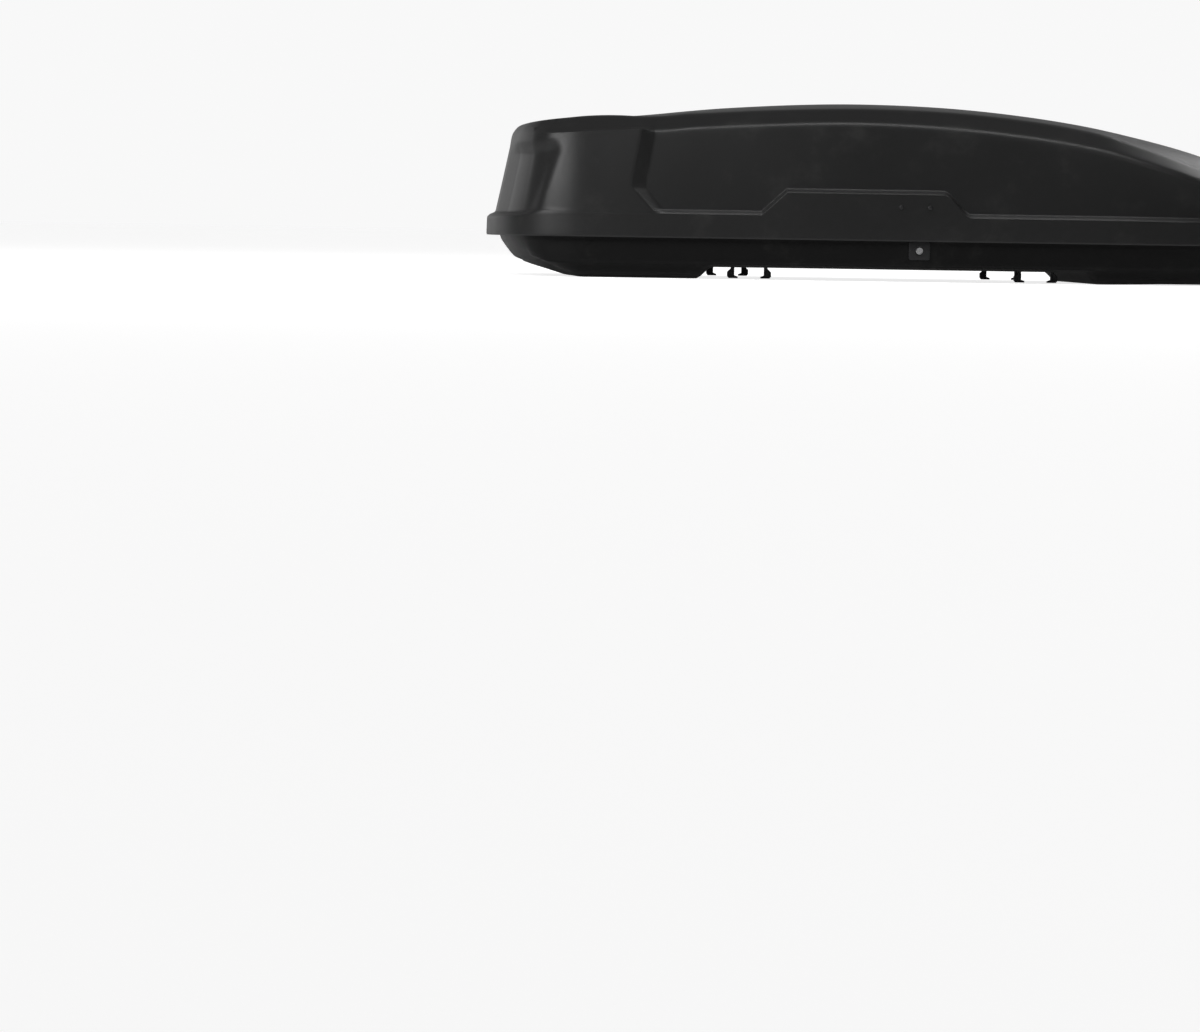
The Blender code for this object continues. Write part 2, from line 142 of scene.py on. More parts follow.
class Graph:
    """The node tree of a material or a world, and its shader."""

    def __init__(self, owner, shader="Principled BSDF"):
        self.owner = owner
        owner.use_nodes = True
        self.tree = owner.node_tree
        self.shader = self.tree.nodes[shader]

    def node(self, kind, settings=None, inputs=None, output=0):
        """Adds a node: its settings first, then the values or links of its sockets. Gives one output."""
        made = self.tree.nodes.new(kind)
        for key, setting in (settings or {}).items():
            setattr(made, key, setting)
        for key, given in (inputs or {}).items():
            self.feed(made.inputs[key], given)
        return Value(self, made.outputs[output])

    def feed(self, socket, given):
        """Links a value to a socket, or sets a constant on it."""
        if isinstance(given, Value):
            self.tree.links.new(given.socket, socket)
        else:
            socket.default_value = given

    def set(self, **sockets):
        """Sets or links the shader's sockets; base_color stands for Base Color, and so on."""
        for key, given in sockets.items():
            title = key.replace("_", " ").title().replace("Ior", "IOR")
            self.feed(self.shader.inputs[title], given)
        return self.owner

    def place(self):
        """The object's own coordinates, in metres."""
        return self.node("ShaderNodeTexCoord", output=3)

    def noise(self, scale, detail=2.0, roughness=0.5, at=None):
        settings = {"noise_dimensions": "3D"}
        inputs = {"Vector": at or self.place(), "Scale": scale, "Detail": detail, "Roughness": roughness}
        return self.node("ShaderNodeTexNoise", settings, inputs)

    def mix(self, factor, first, second):
        """Two colours mixed by a factor."""
        settings = {"data_type": "RGBA", "blend_type": "MIX"}
        return self.node("ShaderNodeMix", settings, {0: factor, 6: first, 7: second}, output=2)

    def bump(self, height, strength, distance):
        inputs = {"Strength": strength, "Distance": distance, "Height": height}
        return self.node("ShaderNodeBump", None, inputs)


def new_finish(name):
    return Graph(bpy.data.materials.new(name))


def rgb(red, green, blue):
    return (red, green, blue, 1.0)


print("node graphs can now be written as arithmetic")

# %% [markdown]
# ## Light
#
# Black plastic is drawn by what it reflects. A soft lamp on the left, near the rear end, brightens the rear
# corner and fades along the side panel. A long lamp over the roof catches the dome and the edges that face
# up. The camera sees a pale backdrop, but the plastic sees a dim room, a little brighter towards the rear
# and low on the far side, so that the underside stays dark.


# %% Lamps and room
def soft_lamp(name, place, target, size, power):
    """A rectangular area lamp at a place, turned towards a target."""
    lamp = bpy.data.lights.new(name, "AREA")
    lamp.shape = "RECTANGLE"
    lamp.size, lamp.size_y = size
    lamp.energy = power
    made = bpy.data.objects.new(name, lamp)
    made.location = place
    made.rotation_euler = (Vector(target) - Vector(place)).to_track_quat("-Z", "Y").to_euler()
    bpy.context.collection.objects.link(made)


soft_lamp("key_lamp", (-2.6, -2.9, 1.7), (-0.8, 0, 0.3), (1.8, 1.0), 62)
soft_lamp("roof_lamp", (0.0, -1.5, 4.2), (0, -0.2, 0.3), (6.0, 0.7), 120)
soft_lamp("far_lamp", (4.0, 4.5, 3.0), (0.3, 0, 0.2), (3.0, 2.0), 60)

room = bpy.data.worlds.new("room")
bpy.context.scene.world = room
air = Graph(room, "Background")
direction = air.node("ShaderNodeTexCoord", output="Generated")
x, y, z = (air.node("ShaderNodeSeparateXYZ", None, {0: direction}, axis) for axis in "XYZ")
from_rear = x.eased(-0.85, 0.10, 0.26, 0.07)
horizon = y.eased(0.3, 0.9, 0.0, 0.6) * z.eased(0.10, 0.40, 1.0, 0.1)
seen = air.node("ShaderNodeLightPath", output="Is Camera Ray")
BACKDROP = 0.94
air.set(color=rgb(1.0, 1.0, 1.0), strength=(from_rear + horizon) * (1 - seen) + seen * BACKDROP)
bpy.context.scene.view_settings.view_transform = "Standard"
print("3 lamps and a pale room")

# %% [markdown]
# ## The finishes
#
# The lid's sheet is embossed with a fine grain before it is formed. The tray is the same plastic with a
# smoother face. Handling polishes the grain and road dust settles in it, so roughness and colour drift
# slowly over the surface. Noise in the object's own coordinates needs no unwrapping and shows no seams.


# %% Shell plastics
def grained_abs(name, shade, grain_depth, base_roughness, shine):
    graph = new_finish(name)
    grain = graph.noise(1500, detail=3, roughness=0.6)
    cells = {"Vector": graph.place(), "Scale": 620.0}
    pebble = graph.node("ShaderNodeTexVoronoi", {"feature": "F1"}, cells)
    drift = graph.noise(2.2, detail=4)
    dust = graph.noise(9.0, detail=6, roughness=0.65).eased(0.52, 0.78)
    tone = graph.mix(drift, rgb(*(shade * 0.85,) * 3), rgb(shade * 1.15, shade * 1.15, shade * 1.18))
    tone = graph.mix(dust * 0.10, tone, rgb(0.10, 0.098, 0.092))
    roughness = base_roughness + (drift - 0.5) * 0.10 + dust * 0.06
    height = grain * 0.5 + pebble * 0.5
    return graph.set(
        base_color=tone, roughness=roughness, specular_ior_level=shine,
        normal=graph.bump(height, 0.55, grain_depth),
    )


lid_plastic = grained_abs("lid_grained_abs", 0.0080, 0.00022, 0.42, 0.40)
tray_plastic = grained_abs("tray_satin_abs", 0.0040, 0.00010, 0.46, 0.14)
print("shell plastics made")

# %% [markdown]
# ## The small pieces' finishes
#
# The fittings are glass-filled nylon, zinc-plated steel pressings, a chromed key barrel and mill-finish
# aluminium ribs. Plating has cloudy patches and fine rolling lines; nylon shows a faint mould texture. Each
# is a little noise that varies the roughness more than the colour, because that is how such metal differs.


# %% Fitting finishes
def moulded_nylon():
    graph = new_finish("moulded_nylon")
    cloud = graph.noise(60, detail=4)
    tone = graph.mix(cloud, rgb(0.010, 0.010, 0.011), rgb(0.016, 0.016, 0.017))
    fine = graph.noise(2400, detail=2)
    return graph.set(
        base_color=tone, roughness=0.36 + cloud * 0.16, specular_ior_level=0.35,
        normal=graph.bump(fine, 0.4, 0.00008),
    )


def stretched(graph, scale):
    """Coordinates scaled by axis, for lines that run along the least scaled one."""
    return graph.node("ShaderNodeMapping", {"vector_type": "POINT"}, {0: graph.place(), 3: scale})


def plated_steel():
    graph = new_finish("zinc_plated_steel")
    lines = graph.noise(160, detail=3, at=stretched(graph, (1.0, 12.0, 12.0)))
    cloud = graph.noise(45, detail=5)
    tone = graph.mix(cloud, rgb(0.52, 0.53, 0.54), rgb(0.70, 0.69, 0.66))
    return graph.set(
        base_color=tone, metallic=1.0, roughness=0.26 + cloud * 0.14 + lines * 0.08,
        normal=graph.bump(lines, 0.25, 0.00006),
    )


def bright_chrome():
    graph = new_finish("bright_chrome")
    wear = graph.noise(300, detail=4).eased(0.45, 0.75)
    return graph.set(base_color=rgb(0.86, 0.86, 0.87), metallic=1.0, roughness=0.07 + wear * 0.12)


def mill_aluminium():
    graph = new_finish("mill_aluminium")
    lines = graph.noise(120, detail=4, at=stretched(graph, (14.0, 1.0, 14.0)))
    tone = graph.mix(lines, rgb(0.62, 0.62, 0.63), rgb(0.76, 0.76, 0.77))
    return graph.set(
        base_color=tone, metallic=1.0, roughness=0.30 + lines * 0.14, normal=graph.bump(lines, 0.3, 0.00008)
    )


nylon, steel, chrome, aluminium = moulded_nylon(), plated_steel(), bright_chrome(), mill_aluminium()
FINISH_OF = {
    "textured_black_abs": lid_plastic, "smooth_black_abs": tray_plastic, "black_nylon": nylon,
    "zinc_plated_steel": steel, "chromed_zinc": chrome, "aluminium": aluminium,
}
slot_of = {row["node"]: row["material_slot"] for row in frame["record"]["subparts"]}
for name, node in frame["nodes"].items():
    finish = FINISH_OF[slot_of[name]]
    for place in node.material_slots:
        place.material = finish
print("finishes on", len(slot_of), "nodes")

# %% [markdown]
# ## Curves that shape the shells
#
# A formed shell is easiest to describe as a plan outline with a section swept round it. The section at each
# point of the outline is a short line of corners, each rounded by its own radius, and a few lengthwise
# curves say how high the ledge, the shoulder and the crown stand. Sculpting could reach the same form, but
# numbers keep both sides alike and meet the fixed frame exactly.


# %% Curve helpers
def through(x, points):
    """The smooth curve through the points, read at x; flat past either end."""
    xs, zs = (np.array(column) for column in zip(*points))
    x = float(np.clip(x, xs[0], xs[-1]))
    slopes = np.gradient(zs, xs)
    i = min(max(int(np.searchsorted(xs, x)) - 1, 0), len(xs) - 2)
    width = xs[i + 1] - xs[i]
    t = (x - xs[i]) / width
    rise = t * t * (3 - 2 * t)
    tangent_in = t * (1 - t) ** 2 * width * slopes[i]
    tangent_out = t * t * (t - 1) * width * slopes[i + 1]
    return float(zs[i] * (1 - rise) + zs[i + 1] * rise + tangent_in + tangent_out)


def straight(x, points):
    """The broken line through the points, read at x."""
    xs, zs = zip(*points)
    return float(np.interp(x, xs, zs))


def ramp(x, start, end):
    """0 before start, 1 after end, easing between; start may be the larger."""
    t = min(max((x - start) / (end - start), 0.0), 1.0)
    return t * t * (3 - 2 * t)


def wedge(x, start, end):
    """0 before start, 1 after end, straight between."""
    return min(max((x - start) / (end - start), 0.0), 1.0)


print("a ramp and a wedge, a quarter of the way up:", ramp(0.25, 0, 1), wedge(0.25, 0, 1))

# %% [markdown]
# ## The plan outline
#
# Half of the outline runs from the middle of the rear, round the rear corner, along the side and round to
# the tip of the nose. A smooth curve passes through a handful of points, and is read at close steps. Extra
# columns stand where the side panel's step and the climb of its ledge need crisp edges.

# %% Plan outline
HALF_PLAN = (
    (-1.042, 0.000), (-1.039, 0.140), (-1.027, 0.260), (-0.996, 0.352), (-0.943, 0.404), (-0.870, 0.427),
    (-0.780, 0.430), (-0.520, 0.430), (-0.120, 0.430), (0.260, 0.430), (0.400, 0.430), (0.520, 0.424),
    (0.640, 0.402), (0.750, 0.368), (0.850, 0.322), (0.930, 0.265), (0.990, 0.195), (1.035, 0.105),
    (1.050, 0.000),
)


def outline_columns(spacing):
    """Points along half of the outline at about the spacing, each with its inward normal."""
    ends = [(HALF_PLAN[1][0], -HALF_PLAN[1][1])], [(HALF_PLAN[-2][0], -HALF_PLAN[-2][1])]
    corners = [Vector(p) for p in (*ends[0], *HALF_PLAN, *ends[1])]
    path = []
    for before, start, end, after in zip(corners, corners[1:], corners[2:], corners[3:]):
        steps = max(2, round((end - start).length / spacing))
        spans = [max((b - a).length, 1e-6) for a, b in ((before, start), (start, end), (end, after))]
        leaving = (end - before) * spans[1] / (spans[0] + spans[1])
        arriving = (after - start) * spans[1] / (spans[1] + spans[2])
        for i in range(steps):
            t = i / steps
            rise = t * t * (3 - 2 * t)
            point = start * (1 - rise) + end * rise
            point += leaving * t * (1 - t) ** 2 + arriving * t * t * (t - 1)
            path.append(point)
    path.append(corners[-2])
    columns = []
    for i, point in enumerate(path):
        before = path[i - 1] if i else Vector((path[1].x, -path[1].y))
        after = path[i + 1] if i + 1 < len(path) else Vector((path[-2].x, -path[-2].y))
        along = (after - before).normalized()
        columns.append((point, Vector((along.y, -along.x))))
    return columns


def with_extra(columns, places):
    """The columns, with more of them on the straight side where an edge runs up it."""
    made = list(columns)
    for x in places:
        i = next(i for i, (point, _) in enumerate(made) if point.x > x)
        (before, turn_before), (after, turn_after) = made[i - 1], made[i]
        share = (x - before.x) / (after.x - before.x)
        made.insert(i, (before.lerp(after, share), turn_before.lerp(turn_after, share).normalized()))
    return made


STEP_X, STEP_WIDTH = -0.711, 0.034
CLIMB = (-0.391, -0.329)
edges = (STEP_X, STEP_X + STEP_WIDTH, *CLIMB)
extra = [x + side for x in edges for side in (-0.0012, 0.0012)]
lid_columns = with_extra(outline_columns(0.010), extra)
print(len(lid_columns), "columns along half of the outline")

# %% [markdown]
# ## Sections with rounded corners
#
# Each corner of a section becomes a short arc, and each straight run can be cut into steps, so every column
# has the same number of rows and the rows join into a clean grid. A Bevel modifier has one width for all
# edges; here every corner keeps the radius of its place on the mould.


# %% Rounded section
def rounded(corners, arc_steps=4):
    """Rows along a section. Each corner is (inset, height, radius, steps in the straight run after it)."""
    points = [Vector(c[:2]) for c in corners]
    rows = [points[0]]
    leave = points[0]
    for i in range(1, len(corners)):
        run = corners[i - 1][3]
        if i + 1 < len(corners):
            to_before = points[i - 1] - points[i]
            to_after = points[i + 1] - points[i]
            reach = min(corners[i][2], 0.45 * to_before.length, 0.45 * to_after.length)
            arrive = points[i] + to_before.normalized() * reach
            depart = points[i] + to_after.normalized() * reach
        else:
            arrive = depart = points[i]
        rows += [leave.lerp(arrive, step / run) for step in range(1, run + 1)]
        if i + 1 < len(corners):
            for step in range(1, arc_steps + 1):
                t = step / arc_steps
                rows.append(arrive * (1 - t) ** 2 + points[i] * 2 * t * (1 - t) + depart * t * t)
        leave = depart
    return rows


print("one rounded corner has", len(rounded(((0, 0, 0, 1), (0, 1, 0.2, 1), (1, 1, 0, 1)))), "rows")

# %% [markdown]
# ## The lid's lengthwise lines
#
# The crown, the shoulder and the top of the chamfer are smooth curves. The ledge over the skirt steps up
# over the lock, where it doubles. The rear section of the side stands proud as far as a slanted step, and
# the rear corners are cut back behind a leaning edge.

# %% Lid lines
CROWN = (
    (-0.970, 0.370), (-0.880, 0.3835), (-0.780, 0.3945), (-0.720, 0.3985), (-0.450, 0.4255),
    (-0.100, 0.4407), (0.250, 0.4230), (0.550, 0.3775), (0.800, 0.3110), (0.940, 0.2520),
)
SHOULDER = (
    (-1.000, 0.335), (-0.860, 0.345), (-0.680, 0.359), (-0.450, 0.375), (-0.140, 0.386), (0.150, 0.3717),
    (0.450, 0.332), (0.750, 0.262), (0.950, 0.205),
)
CHAMFER_TOP = (
    (-1.000, 0.369), (-0.930, 0.381), (-0.860, 0.3900), (-0.780, 0.3975), (-0.700, 0.3955),
    (-0.580, 0.4015), (-0.380, 0.4137), (-0.140, 0.4218), (0.160, 0.411), (0.460, 0.3715), (0.750, 0.300),
    (0.930, 0.245),
)
LIP_Z = 0.099
LEDGE_Z, RAISED_LEDGE_Z = 0.1625, 0.2185
STEP_FOOT_Z, STEP_FOOT_DEPTH = 0.224, 0.060
DESCENT = (0.056, 0.126)


def raised(x):
    """1 where the ledge runs high over the lock, 0 elsewhere."""
    return wedge(x, *CLIMB) * (1 - ramp(x, *DESCENT))


def slant(z):
    """How far forward the step's back edge stands, at a height: it leans forward, and kinks at its foot."""
    if z > STEP_FOOT_Z:
        return 0.20 * (z - STEP_FOOT_Z)
    return 0.055 * min((STEP_FOOT_Z - z) / STEP_FOOT_DEPTH, 1.0)


def step_line(z):
    """Where the rear section's slanted step begins and ends, at a height."""
    back = STEP_X + slant(z)
    narrowing = 0.012 * wedge(z, STEP_FOOT_Z, STEP_FOOT_Z - STEP_FOOT_DEPTH)
    return back, back + STEP_WIDTH - narrowing


def slide(x, z):
    """How far a grid column leans forward at a height, so that its edges follow the step."""
    near = ramp(x, STEP_X - 0.12, STEP_X - 0.02) * (1 - ramp(x, STEP_X + 0.05, STEP_X + 0.16))
    return near * slant(max(z, STEP_FOOT_Z - STEP_FOOT_DEPTH)) * ramp(z, 0.1560, 0.168)


def proud(x, z):
    """1 where the side panel stands flush with the skirt: the rear section, back to its slanted step."""
    start, end = step_line(z)
    return 1 - wedge(x, start, end)


CORNER_EDGE = ((0.150, -0.950), (0.168, -0.931), (0.210, -0.919), (0.309, -0.880), (0.350, -0.876))
CORNER_CUT = 0.014


def corner_cut(point, z, shoulder):
    """How far the panel is cut back behind the leaning edge of a rear corner; it returns on the rear face."""
    edge = straight(z, CORNER_EDGE)
    share = ramp(point.x, edge, edge - 0.045) * wedge(point.y, 0.06, 0.20)
    over_ledge = ramp(z, 0.146, 0.156)
    under_shoulder = 1 - ramp(z, shoulder - 0.045, shoulder + 0.002)
    return CORNER_CUT * share * over_ledge * under_shoulder


print("lid lines set; crown", max(z for _, z in CROWN))


# %% [markdown]
# ## The lid's section
#
# From the lower lip up: a skirt that leans in by a few millimetres, the ledge, the side panel, the shoulder,
# the chamfer and the dome. Three sections are drawn, for the side, the rear and the nose, and each column
# of the grid mixes them by the way that it faces.

# %% Lid section
LEDGE_RISE = 0.0055
CHAMFER_START, CHAMFER_END = 0.056, 0.116


def skirt_inset(z):
    """The skirt leans in at a steady slope from just over the lip."""
    return 0.072 * (z - LIP_Z - 0.003)


def panel_inset(z, shoulder):
    """The panel leans in and bows out a little; it depends on height alone, whatever the ledge does."""
    up = (z - LEDGE_Z - LEDGE_RISE) / (shoulder - LEDGE_Z - LEDGE_RISE)
    return 0.016 + 0.024 * up + 0.016 * up * up


def lid_side_rows(x):
    """The side's section at x: first with the panel set back everywhere, then moved out behind the step."""
    twin = raised(x)
    ledge = LEDGE_Z + (RAISED_LEDGE_Z - LEDGE_Z) * twin
    shoulder, chamfer_top = through(x, SHOULDER), through(x, CHAMFER_TOP)
    foot, middle = ledge + LEDGE_RISE, (ledge + shoulder) / 2
    edge = skirt_inset(ledge - 0.005)
    rows = rounded((
        (0.0015, LIP_Z, 0.0, 1), (0.0000, LIP_Z + 0.003, 0.002, 4),
        (skirt_inset(ledge - 0.009), ledge - 0.009, 0.0, 1), (edge, ledge - 0.005, 0.0015, 1),
        (edge + 0.0050 - 0.001 * twin, ledge - 0.0015 * twin, 0.001 + 0.0005 * twin, 1),
        (edge + 0.0065 + 0.004 * twin, ledge + 0.0010 + 0.0005 * twin, 0.001 + 0.0005 * twin, 1),
        (panel_inset(foot, shoulder), foot, 0.002, 10), (panel_inset(middle, shoulder), middle, 0.040, 10),
        (CHAMFER_START, shoulder, 0.010, 4), (CHAMFER_END, chamfer_top, 0.016, 1),
        (0.1500, chamfer_top + 0.004 * ramp(x, -0.76, -0.60), 0.0, 1),
    ))
    for row in rows:
        if foot + 0.003 < row.y < shoulder - 0.012:
            row.x = panel_inset(row.y, shoulder)
    flush_foot = Vector((0.004, LEDGE_Z - 0.005))
    flush_top = Vector((0.042, shoulder + 0.005))
    moved = []
    for row in rows:
        share = proud(x + slide(x, row.y), row.y)
        if row.y > flush_foot.y and share > 0:
            up_panel = (row.y - flush_foot.y) / (flush_top.y - flush_foot.y)
            reached = min(up_panel, 1.0)
            below_top = 1 - wedge(row.x, CHAMFER_START, CHAMFER_END)
            bow = 0.004 * math.sin(math.pi * reached)
            flush = flush_foot.x + (flush_top.x - flush_foot.x) * reached - bow
            inset = min(row.x, flush) if up_panel < 1 else row.x - 0.014 * below_top
            lift = 0.005 * reached * below_top
            row = Vector((row.x + (inset - row.x) * share, row.y + lift * share))
        moved.append(row)
    return moved


LID_REAR_ROWS = rounded((
    (0.0015, LIP_Z, 0.0, 1), (0.0000, LIP_Z + 0.003, 0.002, 4), (0.0008, 0.1370, 0.0, 1),
    (0.0010, 0.1440, 0.004, 1), (0.0070, 0.1510, 0.002, 1), (0.0120, 0.1530, 0.002, 1),
    (0.0210, 0.1570, 0.005, 10), (0.0420, 0.2550, 0.080, 10), (0.0620, 0.3520, 0.010, 4),
    (0.0780, 0.3695, 0.010, 1), (0.1100, 0.3745, 0.0, 1),
))
LID_NOSE_ROWS = rounded((
    (0.0015, LIP_Z, 0.0, 1), (0.0000, LIP_Z + 0.003, 0.002, 4), (0.0017, 0.1350, 0.0, 1),
    (0.0020, 0.1420, 0.004, 1), (0.0070, 0.1470, 0.002, 1), (0.0110, 0.1490, 0.002, 1),
    (0.0180, 0.1530, 0.005, 10), (0.0330, 0.1790, 0.040, 10), (0.0540, 0.2060, 0.016, 4),
    (0.1060, 0.2480, 0.016, 1), (0.1400, 0.2680, 0.0, 1),
))


def blended_rows(point, normal, side, rear, nose):
    """The section where the outline faces this way."""
    shares = (normal.y**2, max(normal.x, 0) ** 2, max(-normal.x, 0) ** 2)
    rows = []
    for trio in zip(side(point.x), rear, nose):
        rows.append(sum((row * share for row, share in zip(trio, shares)), Vector((0, 0))))
    return rows


def shell_grid(columns, section, middle_height, rows_across, lean=lambda x, z: 0.0):
    """The shell's outer surface as a grid: a column goes up its section, then across to the middle."""
    grid = []
    for point, normal in columns:
        column = [Vector((*(point + normal * row.x), row.y)) for row in section(point, normal)]
        for corner in column:
            corner.x += lean(point.x, corner.z)
        edge = column[-1]
        middle = middle_height(edge.x)
        for i in range(1, rows_across + 1):
            share = 1 - i / rows_across
            height = middle + (edge.z - middle) * share**2
            column.append(Vector((edge.x, edge.y * share, height)))
        grid.append(column)
    return grid


print("sections:", len(LID_REAR_ROWS), "rows")


# %% [markdown]
# ## From grid to formed sheet
#
# The grid is mirrored about the middle and joined into one surface. A Solidify modifier then gives it the
# thickness of the formed sheet, as the real shell is one sheet of even thickness.


# %% Build a shell
SHEET = 0.004


def shell_object(name, grid, facing):
    """A closed shell: the grid and its mirror image, welded and thickened inwards.

    Facing is 1 where a column runs upwards and -1 where it runs downwards, as the faces then turn over.
    """
    depth = len(grid[0])
    points, faces = [], []
    for hand in (-1, 1):
        first = len(points)
        points += [(p.x, hand * p.y, p.z) for column in grid for p in column]
        for i in range(len(grid) - 1):
            for k in range(depth - 1):
                a = first + i * depth + k
                face = (a, a + depth, a + depth + 1, a + 1)
                faces.append(face if hand < 0 else face[::-1])
    mesh = bpy.data.meshes.new(name)
    mesh.from_pydata(points, [], faces)
    made = bpy.data.objects.new(name, mesh)
    bpy.context.collection.objects.link(made)
    weld = made.modifiers.new("weld", "WELD")
    weld.merge_threshold = 0.00002
    wall = made.modifiers.new("wall", "SOLIDIFY")
    wall.thickness = SHEET
    wall.offset = -facing
    apply_modifiers(made)
    return made


def apply_modifiers(made):
    """Replaces the object's mesh by what its modifiers make of it."""
    bpy.context.view_layer.update()
    ready = bpy.data.meshes.new_from_object(made.evaluated_get(bpy.context.evaluated_depsgraph_get()))
    made.modifiers.clear()
    made.data = ready


def finish_piece(made, material, body, node, smooth_angle=30):
    """Gives a new piece its material and its body, and hides the frame node that it stands for."""
    made.data.materials.clear()
    made.data.materials.append(material)
    made.data.shade_smooth()
    made.data.set_sharp_from_angle(angle=math.radians(smooth_angle))
    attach(made, body)
    if node:
        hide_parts(node)


def lid_section(point, normal):
    """The lid's section at a point of the outline, cut back at the rear corners."""
    rows = blended_rows(point, normal, lid_side_rows, LID_REAR_ROWS, LID_NOSE_ROWS)
    if point.x > -0.72:
        return rows
    shoulder = through(point.x, SHOULDER)
    top = rows[-2]
    missing = through((point + normal * top.x).x, CHAMFER_TOP) - top.y
    cut = []
    for row in rows:
        height = row.y + missing * wedge(row.y, shoulder, top.y)
        cut.append(Vector((row.x + corner_cut(point, row.y, shoulder), height)))
    return cut


lid_grid = shell_grid(lid_columns, lid_section, lambda x: through(x, CROWN), 14, slide)
lid = shell_object("lid", lid_grid, 1)
finish_piece(lid, lid_plastic, "lid", "lid_shell")
print("lid has", len(lid.data.polygons), "faces")

# %% [markdown]
# ## The tray
#
# The tray is formed the same way, facing down. Its wall stands inside the lid's lip, so rain runs off the
# lip and past it. Two deep ends hang below the flat middle, which stays clear for the crossbars.

# %% Tray section
TRAY_INSET = 0.027
TRAY_TOP_Z, FLOOR_Z = 0.1045, 0.029
FLOOR_LINE = (
    (-0.970, 0.041), (-0.928, 0.0265), (-0.845, 0.0015), (-0.825, 0.0), (-0.541, 0.0), (-0.535, 0.0015),
    (-0.508, 0.0275), (-0.500, FLOOR_Z), (0.416, FLOOR_Z), (0.424, 0.0275), (0.450, 0.0015), (0.456, 0.0),
    (0.820, 0.0), (0.845, 0.0015), (0.970, 0.045),
)


def tray_side_rows(x):
    low = straight(x, FLOOR_LINE)
    turn_z = max(low + 0.001, 0.036)
    return rounded((
        (0.016, TRAY_TOP_Z, 0.0, 2), (TRAY_INSET, 0.1000, 0.002, 2), (TRAY_INSET, 0.0880, 0.001, 2),
        (TRAY_INSET + 0.0015, 0.0600, 0.010, 3), (TRAY_INSET + 0.003, turn_z, 0.007, 3),
        (0.060, max(low, 0.012 + 0.58 * low), 0.014, 3), (0.095, low, 0.014, 2), (0.120, low, 0.0, 1),
    ))


TRAY_REAR_ROWS = rounded((
    (0.016, TRAY_TOP_Z, 0.0, 2), (0.034, 0.1000, 0.002, 2), (0.038, 0.0880, 0.004, 2),
    (0.0500, 0.0710, 0.004, 3), (0.0620, 0.0555, 0.004, 3), (0.0720, 0.0450, 0.006, 3),
    (0.0800, 0.0410, 0.004, 2), (0.0920, 0.0368, 0.0, 1),
))
TRAY_NOSE_ROWS = rounded((
    (0.016, TRAY_TOP_Z, 0.0, 2), (0.027, 0.1000, 0.002, 2), (0.031, 0.0880, 0.004, 2),
    (0.0420, 0.0750, 0.006, 3), (0.0540, 0.0630, 0.006, 3), (0.0680, 0.0520, 0.008, 3),
    (0.0800, 0.0450, 0.004, 2), (0.0900, 0.0415, 0.0, 1),
))


def tray_section(point, normal):
    return blended_rows(point, normal, tray_side_rows, TRAY_REAR_ROWS, TRAY_NOSE_ROWS)


tray_grid = shell_grid(lid_columns, tray_section, lambda x: straight(x, FLOOR_LINE), 10)
tray = shell_object("tray", tray_grid, -1)
print("tray grid made,", len(tray.data.polygons), "faces")

# %% [markdown]
# ## Slots, pads and lock holes
#
# Four slots let the clamp jaws reach down. A low pad seats each crossbar, and a round hole on either side
# takes the key barrel. They are cut with Boolean modifiers, as a router cuts them in the formed sheet.


# %% Cut the tray
def block(name, low, high):
    """A box between two corners."""
    low, high = Vector(low), Vector(high)
    corners = [(x, y, z) for x in (low.x, high.x) for y in (low.y, high.y) for z in (low.z, high.z)]
    faces = [(0, 1, 3, 2), (4, 6, 7, 5), (0, 4, 5, 1), (2, 3, 7, 6), (0, 2, 6, 4), (1, 5, 7, 3)]
    mesh = bpy.data.meshes.new(name)
    mesh.from_pydata(corners, [], faces)
    made = bpy.data.objects.new(name, mesh)
    bpy.context.collection.objects.link(made)
    return made


def softened(made, width, segments=3):
    """The object with its edges rounded."""
    edge = made.modifiers.new("edge", "BEVEL")
    edge.width = width
    edge.segments = segments
    edge.limit_method = "ANGLE"
    apply_modifiers(made)
    return made


def rod(name, axis, centre, radius, length, segments=48):
    """A closed cylinder along x, y or z."""
    turned = {"x": (0, math.pi / 2, 0), "y": (math.pi / 2, 0, 0), "z": (0, 0, 0)}[axis]
    bpy.ops.mesh.primitive_cylinder_add(
        vertices=segments, radius=radius, depth=length, location=centre, rotation=turned
    )
    made = bpy.context.object
    made.name = name
    bpy.ops.object.transform_apply(location=True, rotation=True, scale=True)
    return made


def combine(made, tools):
    """Applies each (operation, tool) to the object in turn and removes the tools."""
    for operation, tool in tools:
        step = made.modifiers.new(operation, "BOOLEAN")
        step.operation = operation
        step.solver = "EXACT"
        step.object = tool
    apply_modifiers(made)
    for _, tool in tools:
        bpy.data.objects.remove(tool, do_unlink=True)
    return made


def middle_of(node):
    """The middle of a frame node's box at rest."""
    low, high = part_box(node)
    return (Vector(low) + Vector(high)) / 2


def upright_slot(name, low, high):
    """A cutter with round ends for a slot along x: its four upright edges are rounded right off."""
    radius = (high[1] - low[1]) / 2
    made = block(name, low, high)
    for edge in made.data.edges:
        a, b = (made.data.vertices[i].co for i in edge.vertices)
        if abs(a.z - b.z) > 0.001:
            edge.use_edge_sharp = True
    bevel = made.modifiers.new("ends", "BEVEL")
    bevel.width = radius * 0.98
    bevel.segments = 8
    bevel.limit_method = "WEIGHT"
    weights = made.data.attributes.new("bevel_weight_edge", "FLOAT", "EDGE")
    for i, edge in enumerate(made.data.edges):
        weights.data[i].value = 1.0 if edge.use_edge_sharp else 0.0
    apply_modifiers(made)
    return made


